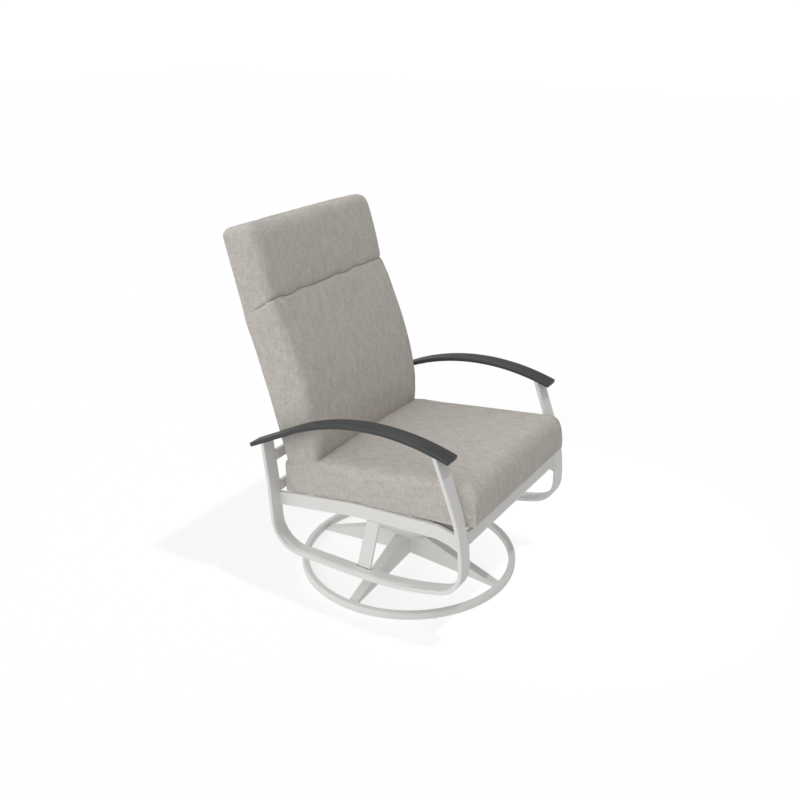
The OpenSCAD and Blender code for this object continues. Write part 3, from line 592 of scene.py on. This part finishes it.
def filled_cover(points, faces, held):
    """Folds of a filled cover as places and offsets.

    The cloth is a little larger than its filling and fixed where held says. What moved over a
    wide area is taken off again, so that the shape stays and only the folds are left.
    """
    cover = new_piece("cover_trial", points, faces, "fabric")
    bpy.context.view_layer.objects.active = cover
    cover.select_set(True)
    cover.data.remesh_voxel_size = COVER_VOXEL
    bpy.ops.object.voxel_remesh()
    start = np.array([v.co for v in cover.data.vertices])
    edges = np.array([e.vertices[:] for e in cover.data.edges])
    group = cover.vertex_groups.new(name="held")
    group.add([int(i) for i in np.flatnonzero(held(start))], 1.0, "REPLACE")
    modifier = cover.modifiers.new("cloth", "CLOTH")
    cloth = modifier.settings
    cloth.quality, cloth.mass = 5, 0.3
    cloth.tension_stiffness = cloth.compression_stiffness = 12
    cloth.shear_stiffness, cloth.bending_stiffness = 6, 0.35
    cloth.use_pressure, cloth.uniform_pressure_force = True, 4.0
    cloth.shrink_min = -0.03
    cloth.vertex_group_mass = "held"
    cloth.effector_weights.gravity = 0.0
    modifier.point_cache.frame_start, modifier.point_cache.frame_end = 1, COVER_FRAMES
    for step in range(1, COVER_FRAMES + 1):
        scene.frame_set(step)
    done = cover.evaluated_get(bpy.context.evaluated_depsgraph_get()).data
    moved = np.array([v.co for v in done.vertices]) - start
    scene.frame_set(1)
    reach = np.linalg.norm(moved, axis=1)
    moved *= np.minimum(1, COVER_REACH / np.maximum(reach, 1e-9))[:, None]
    broad = moved.copy()
    count = np.bincount(edges.ravel(), minlength=len(start))[:, None]
    for _ in range(BROAD_PASSES):
        total = np.zeros_like(broad)
        np.add.at(total, edges[:, 0], broad[edges[:, 1]])
        np.add.at(total, edges[:, 1], broad[edges[:, 0]])
        broad = total / count
    bpy.data.objects.remove(cover)
    return start, moved - broad


def folded(points, faces, held, gain=0.4, limit=0.004, neighbours=5):
    """The points with the folds of their filled cover."""
    places, offsets = filled_cover(points, faces, held)
    tree = KDTree(len(places))
    for i, place in enumerate(places):
        tree.insert(place, i)
    tree.balance()
    added = np.zeros_like(points)
    for i, point in enumerate(points):
        near = tree.find_n(point, neighbours)
        shares = np.array([1 / (d + 0.001) ** 2 for _, _, d in near])
        added[i] = (offsets[[k for _, k, _ in near]] * shares[:, None]).sum(0) / shares.sum()
    size = np.linalg.norm(added, axis=1)
    added *= (gain * np.tanh(size / limit) * limit / np.maximum(size, 1e-9))[:, None]
    return points + added


def cushion(name, rings, node, along, depth, held):
    points, faces = tube_of_rings([placed(ring) for ring in rings])
    points = folded(points, faces, held)
    piece = new_piece(name, points, faces, "fabric")
    weave_uv(piece, along, (1, 0, 0), depth)
    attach(piece, "seat")
    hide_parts(node)


def seat_held(p):
    """The seat cover lies on the rails and is sewn along its bottom edge and up its corners."""
    y = (p[:, 1] - SWIVEL_Y) * 1000
    low = p[:, 2] * 1000 - np.array([rail_top(v) for v in y])
    x = np.abs(p[:, 0]) * 1000
    under_back = (y > 150) & (low > 90)
    corner = (x > SEAT_HALF - 19) & ((y < 18 - SEAT_FRONT) | (y > SEAT_REAR - 16))
    return (low < 7) | under_back | corner


def back_held(p):
    """The back cover lies on its frame and is sewn along its channel."""
    q = p[:, 1:] * 1000 - (SWIVEL_Y * 1000, 0) - BACK_FOOT
    s, out = q @ BACK_DIR, q @ BACK_NORMAL
    x = np.abs(p[:, 0]) * 1000
    channel = (np.abs(s - SEAM_S) < 9) & (out > -5)
    corner = (x > BACK_HALF - 19) & (s > BACK_L - 22)
    return channel | (out < -BACK_REAR + 5) | (s < 8) | corner


cushion("seat_pad", seat_rings, "seat_cushion", (0, 1, 0), (0, 0, 1), seat_held)
cushion(
    "back_pad", back_rings, "back_cushion", tuple(back_up), tuple(np.r_[0, BACK_NORMAL]), back_held
)


# Round wires, grown from their lines by a node tree: the springs and the welts
def wire_nodes(sides=14):
    tree = bpy.data.node_groups.new("round_wire", "GeometryNodeTree")
    for name, in_out, kind in (
        ("Line", "INPUT", "Geometry"), ("Radius", "INPUT", "Float"),
        ("Finish", "INPUT", "Material"), ("Wire", "OUTPUT", "Geometry"),
    ):
        tree.interface.new_socket(name, in_out=in_out, socket_type="NodeSocket" + kind)
    start, end = tree.nodes.new("NodeGroupInput"), tree.nodes.new("NodeGroupOutput")
    curve = tree.nodes.new("GeometryNodeMeshToCurve")
    circle = tree.nodes.new("GeometryNodeCurvePrimitiveCircle")
    circle.inputs["Resolution"].default_value = sides
    sweep = tree.nodes.new("GeometryNodeCurveToMesh")
    sweep.inputs["Fill Caps"].default_value = True
    smooth = tree.nodes.new("GeometryNodeSetShadeSmooth")
    plain_mesh = tree.nodes.new("GeometryNodeRealizeInstances")
    paint = tree.nodes.new("GeometryNodeSetMaterial")
    for a, out, b, into in (
        (start, "Line", curve, "Mesh"), (start, "Radius", circle, "Radius"),
        (curve, "Curve", sweep, "Curve"), (circle, "Curve", sweep, "Profile Curve"),
        (sweep, "Mesh", smooth, "Geometry"), (smooth, "Geometry", plain_mesh, "Geometry"),
        (plain_mesh, "Geometry", paint, "Geometry"), (start, "Finish", paint, "Material"),
        (paint, "Geometry", end, "Wire"),
    ):
        tree.links.new(a.outputs[out], b.inputs[into])
    return tree


WIRE_NODES = wire_nodes()


def grown(name, points, radius, material):
    """A round wire of this radius along the points."""
    line = bpy.data.meshes.new(name + "_line")
    line.from_pydata([tuple(p) for p in points], [(k, k + 1) for k in range(len(points) - 1)], [])
    source = bpy.data.objects.new(name + "_line", line)
    scene.collection.objects.link(source)
    modifier = source.modifiers.new("grow", "NODES")
    modifier.node_group = WIRE_NODES
    settings = {"Radius": radius, "Finish": MATERIALS[material]}
    for item in WIRE_NODES.interface.items_tree:
        if item.in_out == "INPUT" and item.name in settings:
            modifier[item.identifier] = settings[item.name]
    bpy.context.view_layer.update()
    graph = bpy.context.evaluated_depsgraph_get()
    mesh = bpy.data.meshes.new_from_object(source.evaluated_get(graph), depsgraph=graph)
    mesh.name = name
    made = bpy.data.objects.new(name, mesh)
    scene.collection.objects.link(made)
    bpy.data.objects.remove(source)
    bpy.data.meshes.remove(line)
    return made


SPRING_R, WIRE_D, TURNS = 14.0, 6.0, 7
FLAT_TURNS, POINTS_A_TURN = 0.9, 36
# what the springs stand on, from the floor up
HUB_TOP, TRAY_RISE, TRAY_T, CUP_T = 117, 76, 5, 2
SPRING_BOTTOM = HUB_TOP + TRAY_RISE + TRAY_T + CUP_T + WIRE_D / 2 + 0.1


def spring(name, node):
    """A coil spring between its cups, with its last turns wound close together."""
    low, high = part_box(node)
    x, y = (low.x + high.x) * 500, ((low.y + high.y) / 2 - SWIVEL_Y) * 1000
    travel = high.z * 1000 - WIRE_D / 2 - SPRING_BOTTOM
    pitch = WIRE_D + 0.5
    close = FLAT_TURNS * pitch
    points = []
    for k in range(TURNS * POINTS_A_TURN + 1):
        t = k / POINTS_A_TURN
        if t < FLAT_TURNS:
            climb = t * pitch
        elif t > TURNS - FLAT_TURNS:
            climb = travel - (TURNS - t) * pitch
        else:
            share = (t - FLAT_TURNS) / (TURNS - 2 * FLAT_TURNS)
            climb = close + (travel - 2 * close) * share
        a = 2 * math.pi * t
        at = (x + SPRING_R * math.cos(a), y + SPRING_R * math.sin(a), SPRING_BOTTOM + climb)
        points.append(at)
    made = grown(name, placed(points), WIRE_D / 2 * MM, "spring_steel")
    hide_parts(node)
    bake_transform(made)


for side_name, side in SIDES:
    for end_name in ("front", "rear"):
        spring(f"coil_{end_name}_{side_name}", f"spring_{end_name}_{side_name}")


# Fillets between the spokes, round the hub
def hub_fillet(low=31.0, high=116.9, half=15.5, r=8.0, bore=24.2):
    """A hollow star whose hollow corners join spokes of the half thickness given."""
    corner = np.array([
        (half + r - r * math.sin(t), half + r - r * math.cos(t))
        for t in np.radians(np.linspace(0, 90, 15))
    ])
    outline = np.concatenate([
        corner @ np.array([(math.cos(a), math.sin(a)), (-math.sin(a), math.cos(a))])
        for a in np.radians((0, 90, 180, 270))
    ])
    inner = outline / np.linalg.norm(outline, axis=1)[:, None] * bore
    n = len(outline)
    rings = [
        np.c_[ring, np.full(n, z)]
        for ring, z in ((outline, low), (outline, high), (inner, high), (inner, low))
    ]
    faces = []
    for k in range(4):
        for i in range(n):
            a, b = k * n + i, k * n + (i + 1) % n
            faces.append((a, b, (b + n) % (4 * n), (a + n) % (4 * n)))
    points = placed(np.concatenate(rings))
    made = new_piece("hub_fillet", points, faces, "powder_coat", smooth=False)
    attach(made, "base")


hub_fillet()


# Round-cornered pan that the swivel bracket stands in: a flange round its foot and a low wall
def bracket_shoe(half_x=72.0, half_y=97.0, r=45.0, low=126.0, flange=6.0, high=149.0):
    top, bevel, wall_out, wall_in = low + flange, 1.0, 3.5, 6.6
    profile = (
        (low, bevel), (low + bevel, 0.0), (top - bevel, 0.0), (top, bevel),
        (top, wall_out), (high, wall_out), (high, wall_in), (top, wall_in),
    )
    rings = []
    for z, cut in profile:
        outline = rounded_box(half_x, half_y, r, 12, cut)
        rings.append(placed(np.c_[outline, np.full(len(outline), z)]))
    points, faces = tube_of_rings(rings)
    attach(new_piece("bracket_shoe", points, faces, "powder_coat", smooth=False), "swivel")


bracket_shoe()


def strip(name, side, inner, outer, stations, material):
    """A bar from inner to outer in x, along stations of y, low and high."""
    rings = []
    for y, low, high in stations:
        corners = ((inner, low), (outer, low), (outer, high), (inner, high))
        rings.append(placed([(side * x, y, z) for x, z in corners]))
    points, faces = tube_of_rings(rings)
    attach(new_piece(name, points, faces, material, smooth=False), "seat")


# Web strips that show between the side rails and the seat pad, made dark as painted shade for the
# shadow under the pad
WEB_IN, WEB_OUT, WEB_LOW = 288.5, 291.0, 334.0
WEB_ENDS = (-372, -262)

for side_name, side in SIDES:
    web = [(y, WEB_LOW, rail_top(y) + 0.4) for y in WEB_ENDS]
    strip(f"shade_web_{side_name}", side, WEB_IN, WEB_OUT, web, "webbing")


# Welts up the seat pad's front corners, and thin dark strips round the struts' feet: painted shade
# for the shadow line in that joint
WELT_CORNER = (SEAT_HALF + 0.6, -SEAT_FRONT - 0.6)
# how far a rounding's middle lies inside its corner, for each millimetre of its radius
WELT_IN = 0.293
WELT_ENDS, WELT_R = (395, 466), 0.0013
# the height at which the corner starts to grow round, and over how much
ROUND_FROM, ROUND_OVER = 418, 50
SHADE_PAD_YS = (-52.0, -40.0, -28.0, -15.0, -3.0)
# past the strut's sides, into the side frame and above it
SHADE_PAD_RIM, SHADE_PAD_SUNK, SHADE_PAD_PROUD = 1.2, 0.3, 0.9

for side_name, side in SIDES:
    line = []
    for z in np.linspace(*WELT_ENDS, 24):
        inset = WELT_IN * corner_radius(max(0.0, (z - ROUND_FROM) / ROUND_OVER))
        line.append((side * (WELT_CORNER[0] - inset), WELT_CORNER[1] + inset, z))
    welt = grown(f"corner_welt_{side_name}", placed(line), WELT_R, "thread")
    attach(welt, "seat")

    run = nodes[f"side_frame_{side_name}"]
    low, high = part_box(f"strut_{side_name}")
    into = run.matrix_world.inverted()
    stations = []
    for y in SHADE_PAD_YS:
        start = into @ Vector(((low.x + high.x) / 2, y * MM + SWIVEL_Y, low.z + 0.03))
        met_at = run.ray_cast(start, into.to_3x3() @ Vector((0, 0, -1)))[1]
        top = (run.matrix_world @ met_at).z * 1000
        stations.append((y, top - SHADE_PAD_SUNK, top + SHADE_PAD_PROUD))
    inner, outer = sorted((abs(low.x) * 1000, abs(high.x) * 1000))
    # painted shade: a dark strip round the strut's foot, standing in for the joint's shadow line
    strip(f"strut_shade_pad_{side_name}", side, inner - SHADE_PAD_RIM, outer + SHADE_PAD_RIM, stations, "rubber")


# Studio: white floor and surround, soft light from all round, more of it from the chair's right
# centre of a painted pool of light on the floor, which lifts the floor's shade round the chair
PAINTED_LIGHT_SPOT = (0.35, -0.35, 0.0)
BACKDROP = 1.05
# where each wide glow comes from, and its strength
GLOWS = (((-1.0, 0.15, 0.25), 0.82), ((-1.0, 0.6, 1.0), 0.9), ((0.3, 1.0, 0.5), 0.5))


def floor(bounce):
    """White with the chair's shadow on it for the camera, plain and even for all other rays.

    The white glows more just ahead of the chair's left side, so that the soft shadow there is
    as light as in the photo.
    """
    bpy.ops.mesh.primitive_plane_add(size=30)
    made = bpy.context.object
    made.name = "floor"
    paint = Paint("floor")
    away = paint.vector("DISTANCE", paint.place(), PAINTED_LIGHT_SPOT, "Value")
    # painted light: the camera's white is stronger near the spot and fades off farther away,
    # lightening the chair's soft shadow
    glow = 0.778 - 0.13 * away.within(0.25, 0.9)
    faint = paint.node("ShaderNodeBsdfDiffuse", None, {"Color": rgb(0.4, 0.4, 0.4)})
    white = paint.white_light("ShaderNodeEmission", glow)
    seen = paint.node("ShaderNodeAddShader", None, {0: faint, 1: white})
    both = paint.to_camera(paint.white_light("ShaderNodeEmission", bounce), seen)
    paint.node("ShaderNodeOutputMaterial", None, {"Surface": both})
    made.data.materials.append(paint.material)


def surround(horizon, zenith, glows):
    """World light that changes from horizon to zenith, with wide glows, behind a white backdrop."""
    paint = Paint("surround", "worlds")
    ray = paint.node("ShaderNodeTexCoord", out="Generated")
    strength = horizon + (zenith - horizon) * paint.part(ray, "Z").within(0, 1)
    for side, glow in glows:
        facing = paint.vector("DOT_PRODUCT", ray, Vector(side).normalized(), "Value")
        strength = strength + glow * facing.within(0, 1) ** 4
    soft = paint.white_light("ShaderNodeBackground", strength)
    both = paint.to_camera(soft, paint.white_light("ShaderNodeBackground", BACKDROP))
    paint.node("ShaderNodeOutputWorld", None, {"Surface": both})
    scene.world = paint.material


def overhead_light(from_where, strength, spread_angle):
    light = bpy.data.lights.new("overhead_light", "SUN")
    light.energy, light.angle = strength, math.radians(spread_angle)
    made = bpy.data.objects.new("overhead_light", light)
    scene.collection.objects.link(made)
    made.rotation_mode = "QUATERNION"
    made.rotation_quaternion = Vector(from_where).to_track_quat("Z", "Y")


floor(0.64)
surround(0.32, 0.34, GLOWS)
overhead_light((0.107, -0.283, 1.0), 0.58, 2.0)

# The photo's camera
CAMERA_AT = (-2.3819, -1.5039, 1.7888)
CAMERA_AIM = (0, 0.0019, 0.5711)
LENS, SENSOR = 43.456, 36.0

scene.view_settings.view_transform = "Standard"
camera_data = bpy.data.cameras.new("camera")
camera_data.lens, camera_data.sensor_width = LENS, SENSOR
camera = bpy.data.objects.new("camera", camera_data)
scene.collection.objects.link(camera)
camera.location = CAMERA_AT
camera.rotation_mode = "QUATERNION"
camera.rotation_quaternion = (Vector(CAMERA_AIM) - camera.location).to_track_quat("-Z", "Y")
scene.camera = camera
